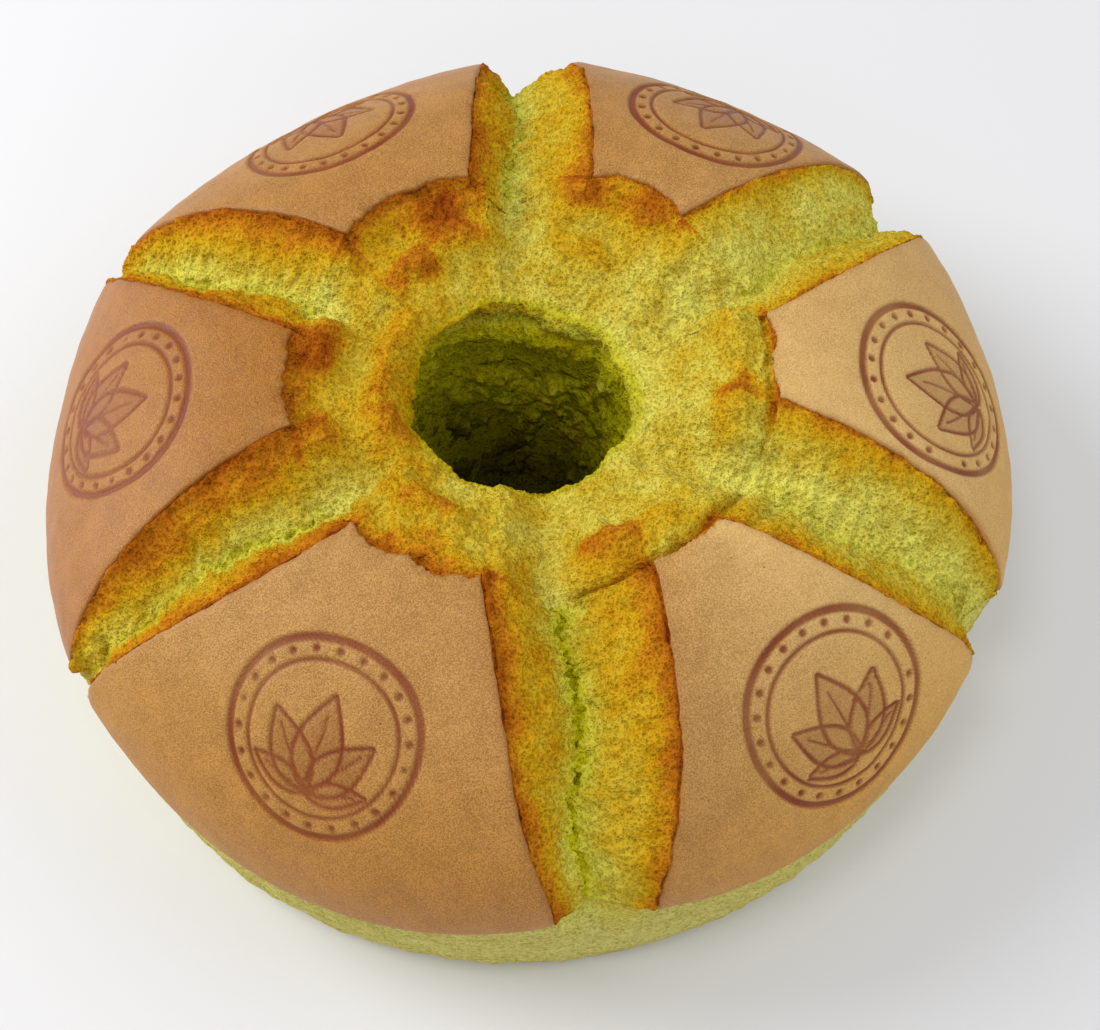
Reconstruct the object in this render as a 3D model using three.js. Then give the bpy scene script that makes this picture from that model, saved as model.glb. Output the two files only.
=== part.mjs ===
// A ring-shaped pandan chiffon cake, standing the way up it was baked: one solid of sponge with a round
// hole, a domed brown top split by six radial cracks into crust panels, a sunken crown round the hole and a
// plain side. Millimetres, +Z up, origin at the centre of the base. The front crack faces -Y.
import * as THREE from "three";

// Driving dimensions of the whole cake.
const RIM_RADIUS = 100; // widest place, at the crust's lower edge
const BASE_RADIUS = 95.8;
const BASE_SHIFT = 2; // the base is set off centre by this much, towards the left
const BASE_SHIFT_ANGLE = -150;
const CREST_HEIGHT = 73.5; // top of the crust, at the panels' inner edges
const RIM_HEIGHT = 40; // the crust's lower edge where it meets a crack
const DOME_POWER = 1.87; // superellipse power of the crust's profile, 2 being an ellipse
const CRUST_STEP = 1.2; // the crust stands this far above the crumb at a crack
const RIM_UNDERCUT = 0.9; // the side starts this far inside the crust's lower edge
const BASE_ROUND = 1.5; // the base's outer edge is drawn in by this much

// The hole and the crown that slopes down to it.
const LIP_RADIUS = 22.3;
const LIP_HEIGHT = 60;
const HOLE_BASE_RADIUS = 11.5;
const HOLE_NARROWING = 2.2; // above 1, the hole narrows mostly near its foot
const CROWN_POWER = 0.62; // below 1, the crown rises fastest near the lip
const CROWN_REACH = 0.965; // share of the way to the crust where the crown's last ring lies
const LIP_WAVE = 0.9; // unevenness of the torn lip and hole wall

// The cracks, counter-clockwise. angle is the middle at the crest and lean its turn towards the rim, in
// degrees. groove is the share of the half width by which the deepest line lies off the middle.
const CRACKS = [
  {
    name: "front left", angle: -152, lean: -2.2, groove: 0.15,
    half: { crest: 13, rim: 4, taper: 2.6 }, depth: { crest: 10, rim: 3 },
  },
  {
    name: "front", angle: -81.8, lean: -3.6, groove: -0.2,
    half: { crest: 15.9, rim: 9.8, taper: 5 }, depth: { crest: 10.5, rim: 5.5 },
  },
  {
    name: "front right", angle: -30.2, lean: 1.2, groove: -0.15,
    half: { crest: 14.2, rim: 8.5, taper: 5 }, depth: { crest: 9, rim: 6.5 },
  },
  {
    name: "back right", angle: 24.5, lean: 5, groove: -0.15,
    half: { crest: 14.6, rim: 9, taper: 4 }, depth: { crest: 9.5, rim: 7 },
  },
  {
    name: "back", angle: 81.5, lean: 3, groove: 0.35,
    half: { crest: 12.8, rim: 8.5, taper: 4 }, depth: { crest: 10, rim: 7 },
  },
  {
    name: "back left", angle: 146.8, lean: 2.2, groove: 0.15,
    half: { crest: 12.6, rim: 4.1, taper: 2.8 }, depth: { crest: 10, rim: 5 },
  },
];
const CRACK_SHARPNESS = 1.35; // 1 is a plain V, more gives round shoulders above a narrow groove
const GROOVE_WANDER = 1.3; // sideways wander of the groove
const PUFF = 0.7; // soft swellings on the crack's sides

// The crust panels, each between the crack of the same place in the list and the next one. At its middle a
// panel stands bulge outside the rim's radius, its inner edge lies bow further out, and its lower edge
// reaches edgeDip lower than at the cracks. innerDrop is its step down to the crown.
const PANELS = [
  { name: "front left", innerRadius: 45.2, bow: 0.4, bulge: 0, innerDrop: 1.6, edgeDip: 12 },
  { name: "front right", innerRadius: 50.2, bow: 0.4, bulge: -0.3, innerDrop: 1.8, edgeDip: 8.5 },
  { name: "right", innerRadius: 50.6, bow: -0.8, bulge: 0.6, innerDrop: 1.8, edgeDip: 7 },
  { name: "back right", innerRadius: 48.2, bow: 2.3, bulge: 1, innerDrop: 2.8, edgeDip: 8 },
  { name: "back left", innerRadius: 47, bow: 1.5, bulge: 0.3, innerDrop: 4.6, edgeDip: 8 },
  { name: "left", innerRadius: 44.2, bow: 0, bulge: 0.3, innerDrop: 3.6, edgeDip: 9 },
];

// Soft puffs on the crown. radius and angle give the middle, outwards and around the size along the radius
// and round the hole, and rise the height.
const PUFFS = [
  { radius: 42, angle: -71, outwards: 4.5, around: 7, rise: 2.8 },
  { radius: 43.5, angle: -54, outwards: 4.5, around: 6, rise: 2.4 },
  { radius: 43, angle: -17, outwards: 4.5, around: 6, rise: 2.6 },
  { radius: 43, angle: 6, outwards: 4.5, around: 7, rise: 2.4 },
  { radius: 41, angle: -119, outwards: 4, around: 8, rise: 1.6 },
  { radius: 39, angle: -164, outwards: 3.6, around: 6, rise: 2 },
  { radius: 39, angle: 164, outwards: 3.6, around: 6, rise: 2.2 },
  { radius: 26.5, angle: 150, outwards: 3.2, around: 7, rise: 2.6 },
  { radius: 26.5, angle: 177, outwards: 3.2, around: 8, rise: 3.2 },
  { radius: 28, angle: -155, outwards: 3.2, around: 8, rise: 3 },
  { radius: 33, angle: -125, outwards: 3.2, around: 8, rise: 2.2 },
  { radius: 42.5, angle: 107, outwards: 4, around: 6, rise: 2 },
  { radius: 34, angle: 123, outwards: 3.6, around: 6, rise: 2.2 },
  { radius: 45, angle: 67, outwards: 3.4, around: 5, rise: 1.6 },
  { radius: 46, angle: 51, outwards: 3.4, around: 5, rise: 1.6 },
  { radius: 33, angle: 63, outwards: 4, around: 6, rise: 1.6 },
];

// How finely the surface is divided.
const CRACK_STEPS = 7; // across half a crack
const PANEL_STEPS = 12; // across a panel
const SECTOR_STEPS = PANEL_STEPS + 2 * CRACK_STEPS;
const HOLE_RINGS = 5;
const CROWN_RINGS = 9;
const DOME_RINGS = 14;
const SIDE_RINGS = 5;

const radians = THREE.MathUtils.degToRad;
const mix = THREE.MathUtils.lerp;
const ease = (x) => THREE.MathUtils.smoothstep(x, 0, 1);
const arch = (x) => 4 * x * (1 - x); // 0 at both ends, 1 in the middle

// The rings of the surface from the base up through the hole, over the top and down the side.
// along runs from 0 at a stretch's first ring to 1 at its last.
function ringsOf(stretch, count, lastAlong = 1) {
  return Array.from({ length: count }, (_, k) => ({ stretch, along: (lastAlong * k) / (count - 1) }));
}
const RINGS = [
  ...ringsOf("hole", HOLE_RINGS, 0.9),
  ...ringsOf("crown", CROWN_RINGS, CROWN_REACH),
  ...ringsOf("dome", DOME_RINGS),
  ...ringsOf("side", SIDE_RINGS).map(({ stretch, along }) => ({ stretch, along: 1 - (1 - along) ** 2 })),
];

// Where a step round the cake lies: which crack and panel it belongs to, how far it is from the crack's
// groove towards the crust (across, 0 to 1), how far along the panel (along, 0 to 1), and on which side of
// the crack.
function placeOf(step) {
  const sector = Math.floor(step / SECTOR_STEPS) % CRACKS.length;
  const k = step % SECTOR_STEPS;
  const next = (sector + 1) % CRACKS.length;
  if (k < CRACK_STEPS) return { sector, crack: sector, across: k / CRACK_STEPS, along: 0, side: 1 };
  if (k > CRACK_STEPS + PANEL_STEPS)
    return { sector, crack: next, across: (SECTOR_STEPS - k) / CRACK_STEPS, along: 1, side: -1 };
  return { sector, crack: null, across: 1, along: (k - CRACK_STEPS) / PANEL_STEPS, side: 0 };
}

// The panels' inner edge: bowed along a panel, and blended across a crack from one panel to the other.
function innerRadiusAt(place) {
  const own = PANELS[place.sector];
  if (place.crack === null) return own.innerRadius + own.bow * arch(place.along);
  const other = PANELS[(place.sector + (place.side > 0 ? PANELS.length - 1 : 1)) % PANELS.length];
  return mix((own.innerRadius + other.innerRadius) / 2, own.innerRadius, ease(place.across));
}

// The rim's radius: each panel bulges by its own amount.
const rimRadiusAt = (place) => RIM_RADIUS + PANELS[place.sector].bulge * arch(place.along);

// Height of the crust's lower edge: highest at the cracks, lowest in the middle of a panel.
const rimHeightAt = (place) => RIM_HEIGHT - PANELS[place.sector].edgeDip * arch(place.along);

// A crack's own angle, half angle and depth a share of the way outwards from the crest (0) to the rim (1).
function crackAt(crack, outwards, radius) {
  return {
    angle: radians(crack.angle + crack.lean * outwards),
    halfAngle: mix(crack.half.crest, crack.half.rim, outwards ** crack.half.taper) / radius,
    depth: mix(crack.depth.crest, crack.depth.rim, outwards ** 2),
  };
}

// How far the crumb lies under the crust's surface inside a crack.
function crackDepth(place, outwards, radius) {
  if (place.crack === null) return 0;
  const { depth } = crackAt(CRACKS[place.crack], outwards, radius);
  const shoulder = CRUST_STEP * ease(Math.min(1, (1 - place.across) * CRACK_STEPS));
  const puff = PUFF * arch(place.across) * Math.sin(radius / 5 + 2 * place.crack + place.side);
  return shoulder + (depth - CRUST_STEP) * (1 - place.across) ** CRACK_SHARPNESS + puff;
}

// The angle round the cake of a step, so that rows of vertices follow the crust's edges exactly.
function angleAt(place, outwards, radius) {
  const from = CRACKS[place.sector];
  const to = CRACKS[(place.sector + 1) % CRACKS.length];
  const start = crackAt(from, outwards, radius);
  const end = crackAt(to, outwards, radius);
  const turn = to.angle < from.angle ? 2 * Math.PI : 0;
  const firstEdge = start.angle + start.halfAngle;
  const lastEdge = end.angle + turn - end.halfAngle;
  const wander = (GROOVE_WANDER * Math.sin(radius / 6 + 3 * (place.crack ?? 0))) / radius;
  const firstGroove = start.angle + from.groove * start.halfAngle + wander;
  const lastGroove = end.angle + turn + to.groove * end.halfAngle + wander;
  if (place.side > 0) return mix(firstGroove, firstEdge, place.across);
  if (place.side < 0) return mix(lastGroove, lastEdge, place.across);
  return mix(firstEdge, lastEdge, place.along);
}

// Slow unevenness of the torn lip and hole wall, the same after a full turn.
const tornAt = (turn) => 0.6 * Math.sin(3 * turn + 0.7) + 0.4 * Math.sin(7 * turn + 2.1);

// How much the puffs raise the crown at a point.
function puffRise(radius, angle) {
  const riseOf = (puff) => {
    const turn = angle - radians(puff.angle);
    const around = (Math.atan2(Math.sin(turn), Math.cos(turn)) * puff.radius) / puff.around;
    const outwards = (radius - puff.radius) / puff.outwards;
    return puff.rise * Math.exp(-outwards * outwards - around * around);
  };
  return PUFFS.reduce((sum, puff) => sum + riseOf(puff), 0);
}

// One point of the surface, as radius, height, and the share outwards that sets its angle.
function holePoint(place, along, turn) {
  const narrowed = (LIP_RADIUS - HOLE_BASE_RADIUS) * (1 - along) ** HOLE_NARROWING;
  const radius = LIP_RADIUS - narrowed + LIP_WAVE * tornAt(turn + 2 * along);
  return { radius, height: mix(0, LIP_HEIGHT, along), outwards: 0 };
}

function crownPoint(place, along, turn) {
  const inner = innerRadiusAt(place);
  const lip = LIP_RADIUS + LIP_WAVE * tornAt(turn + 2);
  const radius = mix(lip, inner, along);
  const drop = PANELS[place.sector].innerDrop * ease(place.across);
  const edge = CREST_HEIGHT - Math.max(drop, crackDepth(place, 0, inner));
  const slope = mix(LIP_HEIGHT + LIP_WAVE * tornAt(turn), edge, along ** CROWN_POWER);
  const height = slope + puffRise(radius, angleAt(place, 0, inner)) * Math.sqrt(arch(along));
  return { radius, height, outwards: 0 };
}

function domePoint(place, along) {
  const inner = innerRadiusAt(place);
  const rim = rimHeightAt(place);
  const out = Math.sin((along * Math.PI) / 2) ** (2 / DOME_POWER);
  const up = Math.cos((along * Math.PI) / 2) ** (2 / DOME_POWER);
  const run = rimRadiusAt(place) - inner;
  const rise = CREST_HEIGHT - rim;
  const normal = new THREE.Vector2(out ** (DOME_POWER - 1) / run, up ** (DOME_POWER - 1) / rise).normalize();
  const radius = inner + run * out;
  const depth = crackDepth(place, out, radius);
  return { radius: radius - normal.x * depth, height: rim + rise * up - normal.y * depth, outwards: out };
}

function sidePoint(place, along) {
  const rim = rimRadiusAt(place);
  const top = rimHeightAt(place) - RIM_UNDERCUT;
  const shift = BASE_SHIFT * Math.cos(angleAt(place, 1, rim) - radians(BASE_SHIFT_ANGLE));
  const notch = crackDepth(place, 1, rim) * (1 - along) ** 2;
  const round = BASE_ROUND * Math.max(0, 4 * along - 3);
  const radius = mix(rim - RIM_UNDERCUT, BASE_RADIUS + shift, along) - notch - round;
  return { radius, height: mix(top, 0, along), outwards: 1 };
}

const POINT_ON = { hole: holePoint, crown: crownPoint, dome: domePoint, side: sidePoint };

function surfacePoint(ring, step, steps) {
  const place = placeOf(step % steps);
  const turn = (2 * Math.PI * (step % steps)) / steps;
  const { radius, height, outwards } = POINT_ON[ring.stretch](place, ring.along, turn);
  const reference = Math.max(radius, innerRadiusAt(place)); // cracks keep their angle across the crown
  const angle = angleAt(place, outwards, outwards > 0 ? radius : reference);
  return new THREE.Vector3(radius * Math.cos(angle), radius * Math.sin(angle), height);
}

// A lathe gives the ring's closed net of faces, and each vertex is then set on the cake's surface.
function cakeGeometry() {
  const steps = SECTOR_STEPS * CRACKS.length;
  const rings = [...RINGS, RINGS[0]].reverse(); // so that the faces look outwards
  const profile = rings.map((_, k) => new THREE.Vector2(RIM_RADIUS, k));
  const geometry = new THREE.LatheGeometry(profile, steps);
  const position = geometry.getAttribute("position");
  for (let step = 0; step <= steps; step++)
    rings.forEach((ring, k) => {
      const point = surfacePoint(ring, step, steps);
      position.setXYZ(step * rings.length + k, point.x, point.y, point.z);
    });
  geometry.deleteAttribute("normal");
  geometry.deleteAttribute("uv");
  geometry.computeVertexNormals();
  return geometry;
}

const sponge = new THREE.MeshStandardMaterial({ color: 0xc0a04a, roughness: 0.9, metalness: 0 });
const cake = new THREE.Mesh(cakeGeometry(), sponge);
cake.name = "cake";

const chiffonCake = new THREE.Group();
chiffonCake.add(cake);

export default chiffonCake;
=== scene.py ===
# %% [markdown]
# # A pandan chiffon cake
#
# The cake is a ring of green sponge that rose in a tube pan and split its brown crust into six panels.
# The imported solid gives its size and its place. Here it is dressed in five kinds of piece: a ring of sponge,
# the crumbly wall of the hole, a band of torn crumb round it, a strip of torn crumb in each crack, and the
# six thin crust panels.
# All of them follow the same few sizes as the solid, so they meet without fitting.

# %% Loading the frame
import math
from typing import NamedTuple

import bmesh
import bpy
from mathutils import Matrix, Vector, noise


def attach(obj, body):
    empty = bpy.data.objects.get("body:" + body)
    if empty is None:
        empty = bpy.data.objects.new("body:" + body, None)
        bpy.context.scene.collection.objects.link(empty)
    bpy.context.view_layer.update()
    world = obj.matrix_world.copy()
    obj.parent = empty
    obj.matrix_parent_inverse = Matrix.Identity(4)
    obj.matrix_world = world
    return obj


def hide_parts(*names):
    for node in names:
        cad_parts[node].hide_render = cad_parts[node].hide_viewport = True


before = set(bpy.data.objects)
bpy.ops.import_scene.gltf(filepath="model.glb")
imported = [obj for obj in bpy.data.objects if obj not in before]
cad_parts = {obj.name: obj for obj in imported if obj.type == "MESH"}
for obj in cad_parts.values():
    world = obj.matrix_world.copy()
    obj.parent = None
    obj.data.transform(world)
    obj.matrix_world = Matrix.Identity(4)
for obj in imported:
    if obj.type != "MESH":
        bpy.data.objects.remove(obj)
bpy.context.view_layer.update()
MM = 0.001

# %% [markdown]
# ## The camera
#
# The picture was taken from above the front of the cake, close to it, with the camera held a little askew.
# A long lens would flatten the ring, so the camera keeps the fitted distance and lens, and a small shift
# puts the middle of the cake's base where it lies in the picture.

# %% Placing the camera
PHOTO_WIDTH, PHOTO_HEIGHT = 1100, 1030
FOCAL_PIXELS = 1800
BASE_CENTRE_PIXEL = (530, 544)
CAMERA_DISTANCE = 0.408
CAMERA_ELEVATION = math.radians(62.1)
CAMERA_ROLL = math.radians(-5.1)
SENSOR_WIDTH = 36

back = Vector((0, -math.cos(CAMERA_ELEVATION), math.sin(CAMERA_ELEVATION)))
level = Vector((1, 0, 0))
upright = back.cross(level)
right = level * math.cos(CAMERA_ROLL) + upright * math.sin(CAMERA_ROLL)
up = upright * math.cos(CAMERA_ROLL) - level * math.sin(CAMERA_ROLL)

camera_data = bpy.data.cameras.new("camera")
camera_data.sensor_width = SENSOR_WIDTH
camera_data.lens = SENSOR_WIDTH * FOCAL_PIXELS / PHOTO_WIDTH
camera_data.shift_x = (PHOTO_WIDTH / 2 - BASE_CENTRE_PIXEL[0]) / PHOTO_WIDTH
camera_data.shift_y = (BASE_CENTRE_PIXEL[1] - PHOTO_HEIGHT / 2) / PHOTO_WIDTH
camera_data.clip_start = 0.01
camera = bpy.data.objects.new("camera", camera_data)
turned = Matrix((right, up, back)).transposed().to_4x4()
camera.matrix_world = Matrix.Translation(back * CAMERA_DISTANCE) @ turned
bpy.context.scene.collection.objects.link(camera)
bpy.context.scene.camera = camera
print("lens", round(camera_data.lens, 1), "mm")

# %% [markdown]
# ## The form in a few sizes
#
# Seen in section the crust is a superellipse from the crest, at the panels' inner edges, to the rim. Cracks
# run from the crown to the rim. Each has a middle, a lean, a width and a depth, and a groove that may lie off
# its middle. The numbers are in millimetres and degrees, as a baker with a ruler would note them.

# %% Sizes of the whole cake
RIM_RADIUS = 100.0
BASE_RADIUS = 95.8
BASE_SHIFT = 2.0
BASE_SHIFT_ANGLE = math.radians(-150)
CREST_HEIGHT = 73.5
RIM_HEIGHT = 40.0
DOME_POWER = 1.87
RIM_UNDERCUT = 0.9
BASE_ROUND = 1.5
LIP_RADIUS = 22.3
LIP_HEIGHT = 60.0
HOLE_BASE_RADIUS = 10.2
HOLE_NARROWING = 2.2
CROWN_POWER = 0.62
LIP_WAVE = 0.9
LIP_WAVE_START = math.radians(152)
print("rim", 2 * RIM_RADIUS, "mm across, crest", CREST_HEIGHT, "mm high")

# %% The cracks and the crust panels


class Crack(NamedTuple):
    name: str
    angle: float  # of the middle at the crest
    lean: float  # turn of the middle towards the rim
    groove: tuple  # share of the half width from the middle to the deepest line, at the crest and rim
    half: tuple  # half width at the crest and rim, and how late it narrows
    depth: tuple  # at the crest and at the rim
    sharpness: float  # how steeply the walls fall to the groove
    crevice: float  # extra depth of the narrow slit in the groove
    brown: float  # browning of the walls
    toast: tuple  # how far the darker browning reaches from the crust, before and after the groove
    fresh: tuple  # width of the fresh crumb before and after the groove


class Panel(NamedTuple):
    name: str
    inner_radius: float
    bow: float  # the inner edge lies this much further out at its middle
    bulge: float  # the middle stands this far outside the rim's radius
    inner_drop: float  # step down to the crown
    edge_dip: float  # the crust reaches this much lower at its middle
    crease: float  # depth of the fold between the inner edge and the crown
    char: float  # how far the browning reaches from the inner edge over the crown
    pale: tuple  # how lightly the crust baked, from 0 to 1, at its first and its last side
    stamp: tuple  # turn in degrees from the panel's middle, and radius


CRACKS = [
    Crack("front_left", angle=-152, lean=-2.2, groove=(0.15, 0.15), half=(13, 4, 2.6), depth=(10, 3),
          sharpness=1.4, crevice=0.8, brown=0.5, toast=(8.5, 4.5), fresh=(9, 3)),
    Crack("front", angle=-81.8, lean=-3.6, groove=(-0.12, -0.28), half=(15.9, 9.8, 5),
          depth=(10.5, 5.5), sharpness=1.8, crevice=1.7, brown=0.5, toast=(4, 5), fresh=(5, 7)),
    Crack("front_right", angle=-30.2, lean=1.2, groove=(-0.15, -0.15), half=(14.2, 8.5, 5), depth=(9, 6.5),
          sharpness=1.4, crevice=0.4, brown=0.26, toast=(5, 5), fresh=(3, 13)),
    Crack("back_right", angle=24.5, lean=5, groove=(-0.15, -0.15), half=(14.6, 9, 4), depth=(9.5, 7),
          sharpness=1.4, crevice=0.5, brown=0.26, toast=(4, 3.5), fresh=(3, 13)),
    Crack("back", angle=81.5, lean=3, groove=(0.35, 0.35), half=(12.8, 8.5, 4), depth=(10, 7),
          sharpness=1.7, crevice=0.8, brown=0.4, toast=(5, 5), fresh=(8, 2)),
    Crack("back_left", angle=146.8, lean=2.2, groove=(0.15, 0.15), half=(12.6, 4.1, 2.8), depth=(10, 5),
          sharpness=1.4, crevice=0.6, brown=0.5, toast=(6, 4), fresh=(9, 3)),
]
PANELS = [
    Panel("front_left", inner_radius=45.2, bow=0.4, bulge=0, inner_drop=1.6, edge_dip=12, crease=0.5,
          char=2.5, pale=(0.42, 0.28), stamp=(0, 80)),
    Panel("front_right", inner_radius=50.2, bow=0.4, bulge=-0.3, inner_drop=1.8, edge_dip=8.5, crease=2.4,
          char=2.5, pale=(0.4, 1.0), stamp=(3.5, 88)),
    Panel("right", inner_radius=50.6, bow=-0.8, bulge=0.6, inner_drop=1.8, edge_dip=7, crease=1.2,
          char=1.5, pale=(1.0, 0.85), stamp=(-4, 83)),
    Panel("back_right", inner_radius=48.2, bow=2.3, bulge=1, inner_drop=2.8, edge_dip=8, crease=0,
          char=8, pale=(0.4, 0.25), stamp=(-3, 80)),
    Panel("back_left", inner_radius=47, bow=1.5, bulge=0.3, inner_drop=4.6, edge_dip=8, crease=0,
          char=11, pale=(0.25, 0.2), stamp=(0, 80)),
    Panel("left", inner_radius=44.2, bow=0, bulge=0.3, inner_drop=3.6, edge_dip=9, crease=0,
          char=8, pale=(0.0, 0.06), stamp=(-1, 80)),
]
print(len(CRACKS), "cracks between", len(PANELS), "crust panels")

# %% Small helpers for blending


def mix(a, b, share):
    return a + (b - a) * share


def ease(x):
    x = min(1.0, max(0.0, x))
    return x * x * (3 - 2 * x)


def arch(x):
    """0 at both ends, 1 in the middle."""
    return 4 * x * (1 - x)


def hill(x):
    """1 at zero, falling away on both sides."""
    return math.exp(-x * x)


# %% [markdown]
# ## Where a point lies on the cake
#
# Every point belongs to a sector: half a crack, a panel and half the next crack. `across` goes from 0 in the
# groove to 1 at the crust, and `along` from 0 to 1 over the panel. Rows of vertices laid out this way follow
# the crust's edges, so the edges come out clean without any cutting.

# %% Places and the edges of the panels


class Place(NamedTuple):
    sector: int
    crack: int  # -1 on a panel
    across: float
    along: float
    side: int  # 1 after the crack's groove, -1 before it, 0 on a panel


def sector_places(crack_steps, panel_steps):
    """The places round the whole cake, one for each step of the ring."""
    places = []
    for sector in range(len(CRACKS)):
        following = (sector + 1) % len(CRACKS)
        places += [Place(sector, sector, k / crack_steps, 0.0, 1) for k in range(crack_steps)]
        places += [Place(sector, -1, 1.0, k / panel_steps, 0) for k in range(panel_steps + 1)]
        places += [Place(sector, following, k / crack_steps, 1.0, -1) for k in range(crack_steps - 1, 0, -1)]
    return places


def inner_radius(place):
    own = PANELS[place.sector]
    if place.side == 0:
        return own.inner_radius + own.bow * arch(place.along)
    other = PANELS[(place.sector - place.side) % len(PANELS)]
    return mix((own.inner_radius + other.inner_radius) / 2, own.inner_radius, ease(place.across))


def rim_radius(place):
    return RIM_RADIUS + PANELS[place.sector].bulge * arch(place.along)


def rim_height(place):
    return RIM_HEIGHT - PANELS[place.sector].edge_dip * arch(place.along)


# %% Cracks: width, depth and the angle of a place
GROOVE_ROUNDING = 0.12
WALL_STEP, WALL_STEP_WIDTH = 1.2, 2.0
WALL_PUFF, WALL_PUFF_LENGTH = 0.7, 5
SLIT_HALF, SLIT_LENGTH = 0.4, 2.2
GROOVE_WAVE, GROOVE_WAVE_LENGTH = 1.3, 6
GROOVE_JAG, GROOVE_JAG_LENGTH = 2.0, 3.2
GROOVE_TEAR, GROOVE_TEAR_LENGTH = 1.2, 1.1


def crack_half(crack, outwards):
    crest, rim, taper = crack.half
    return mix(crest, rim, outwards**taper)


def crack_depth(place, outwards, radius):
    """How far the crumb lies under the crust's surface inside a crack."""
    if place.side == 0:
        return 0.0
    crack = CRACKS[place.crack]
    half = crack_half(crack, outwards)
    depth = mix(crack.depth[0], crack.depth[1], outwards**2)
    wave = radius / WALL_PUFF_LENGTH + 2 * place.crack + place.side
    puff = WALL_PUFF * arch(place.across) * math.sin(wave)
    patchy = 0.55 + 1.5 * noise.noise((radius / SLIT_LENGTH, 3.0 * place.crack, 0.0))
    torn_open = ease(patchy) * (1 - outwards**6)
    slit = crack.crevice * torn_open * hill(place.across * half / SLIT_HALF)
    drop = WALL_STEP * ease((1 - place.across) * half / WALL_STEP_WIDTH)
    to_crust = max(0.0, 1 - math.hypot(place.across, GROOVE_ROUNDING)) / (1 - GROOVE_ROUNDING)
    return drop + (depth - WALL_STEP) * to_crust**crack.sharpness + puff + slit


def place_angle(place, outwards, radius):
    first, last = CRACKS[place.sector], CRACKS[(place.sector + 1) % len(CRACKS)]
    first_middle = math.radians(first.angle + first.lean * outwards)
    last_middle = math.radians(last.angle + last.lean * outwards)
    if last.angle < first.angle:
        last_middle += 2 * math.pi
    first_half = crack_half(first, outwards) / radius
    last_half = crack_half(last, outwards) / radius
    if place.side == 0:
        return mix(first_middle + first_half, last_middle - last_half, place.along)
    wave = math.sin(radius / GROOVE_WAVE_LENGTH + 3 * place.crack)
    jag = noise.noise((radius / GROOVE_JAG_LENGTH, 5.0 * place.crack, 1.0))
    tear = noise.noise((radius / GROOVE_TEAR_LENGTH, 7.0 * place.crack, 2.0))
    wander = (GROOVE_WAVE * wave + GROOVE_JAG * jag + GROOVE_TEAR * tear) / radius
    if place.side > 0:
        groove = first_middle + mix(*first.groove, outwards) * first_half + wander
        return mix(groove, first_middle + first_half, place.across)
    groove = last_middle + mix(*last.groove, outwards) * last_half + wander
    return mix(groove, last_middle - last_half, place.across)


# %% [markdown]
# ## The crown's puffs
#
# Round the hole the sponge dried into puffs, and the top of each puff browned. A puff is a soft bump with its
# own place, size and browning, so one short list shapes the crown and colours it.

# %% Puffs on the crown


class Puff(NamedTuple):
    radius: float
    angle: float
    outwards: float  # size along the radius
    around: float  # size round the hole
    rise: float
    toast: float


PUFFS = [
    Puff(42.0, -71.0, 4.5, 7.0, 2.8, 0.54),
    Puff(43.5, -54.0, 4.5, 6.0, 2.4, 0.16),
    Puff(43.0, -17.0, 4.5, 8.0, 2.6, 0.36),
    Puff(43.0, 6.0, 4.5, 7.0, 2.4, 0.12),
    Puff(41.0, -119.0, 4.0, 8.0, 1.6, 0.24),
    Puff(39.0, -164.0, 3.6, 6.0, 2.0, 0.3),
    Puff(39.0, 164.0, 3.6, 6.0, 2.2, 0.34),
    Puff(25.0, 148.0, 4.4, 9.0, 2.4, 0.17),
    Puff(24.5, 175.0, 4.6, 9.0, 2.8, 0.18),
    Puff(26.0, -156.0, 4.6, 9.0, 2.6, 0.19),
    Puff(32.0, -126.0, 4.0, 9.0, 2.2, 0.22),
    Puff(36.5, 104.0, 2.8, 7.0, 1.6, 0.28),
    Puff(42.5, 107.0, 4.0, 6.0, 2.0, 0.34),
    Puff(34.0, 123.0, 3.6, 6.0, 2.2, 0.3),
    Puff(45.0, 67.0, 3.4, 5.0, 1.6, 0.3),
    Puff(46.0, 51.0, 3.4, 5.0, 1.6, 0.24),
    Puff(34.5, 62.0, 2.8, 7.0, 1.7, 0.24),
]
PUFF_TOAST, PUFF_TOAST_MOST = 1.2, 0.6
RAGGED_SIZE = 4


def puff_share(puff, radius, angle):
    turn = math.remainder(angle - math.radians(puff.angle), 2 * math.pi)
    return hill((radius - puff.radius) / puff.outwards) * hill(turn * puff.radius / puff.around)


def crown_puffs(radius, angle):
    """Rise and browning of the crown at a point."""
    shares = [puff_share(puff, radius, angle) for puff in PUFFS]
    rise = sum(puff.rise * share for puff, share in zip(PUFFS, shares))
    x, y = radius * math.cos(angle), radius * math.sin(angle)
    ragged = 1.3 + 0.9 * noise.noise((x / RAGGED_SIZE, y / RAGGED_SIZE, 0.0))
    toast = sum(PUFF_TOAST * puff.toast * ease(ragged * share) for puff, share in zip(PUFFS, shares))
    return rise, min(PUFF_TOAST_MOST, toast)


print(len(PUFFS), "puffs on the crown")

# %% [markdown]
# ## The surface, stretch by stretch
#
# The section of the ring runs up the hole, over the crown and the dome, down the side and back under the
# base. Each stretch has a function that gives a point's radius, height and angle. Under the crust panels the
# sponge lies a little deeper, so that the crust has room. At the back of the hole a torn ledge stands out.
# On the left the lip is higher and hangs over a hollow.

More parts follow.
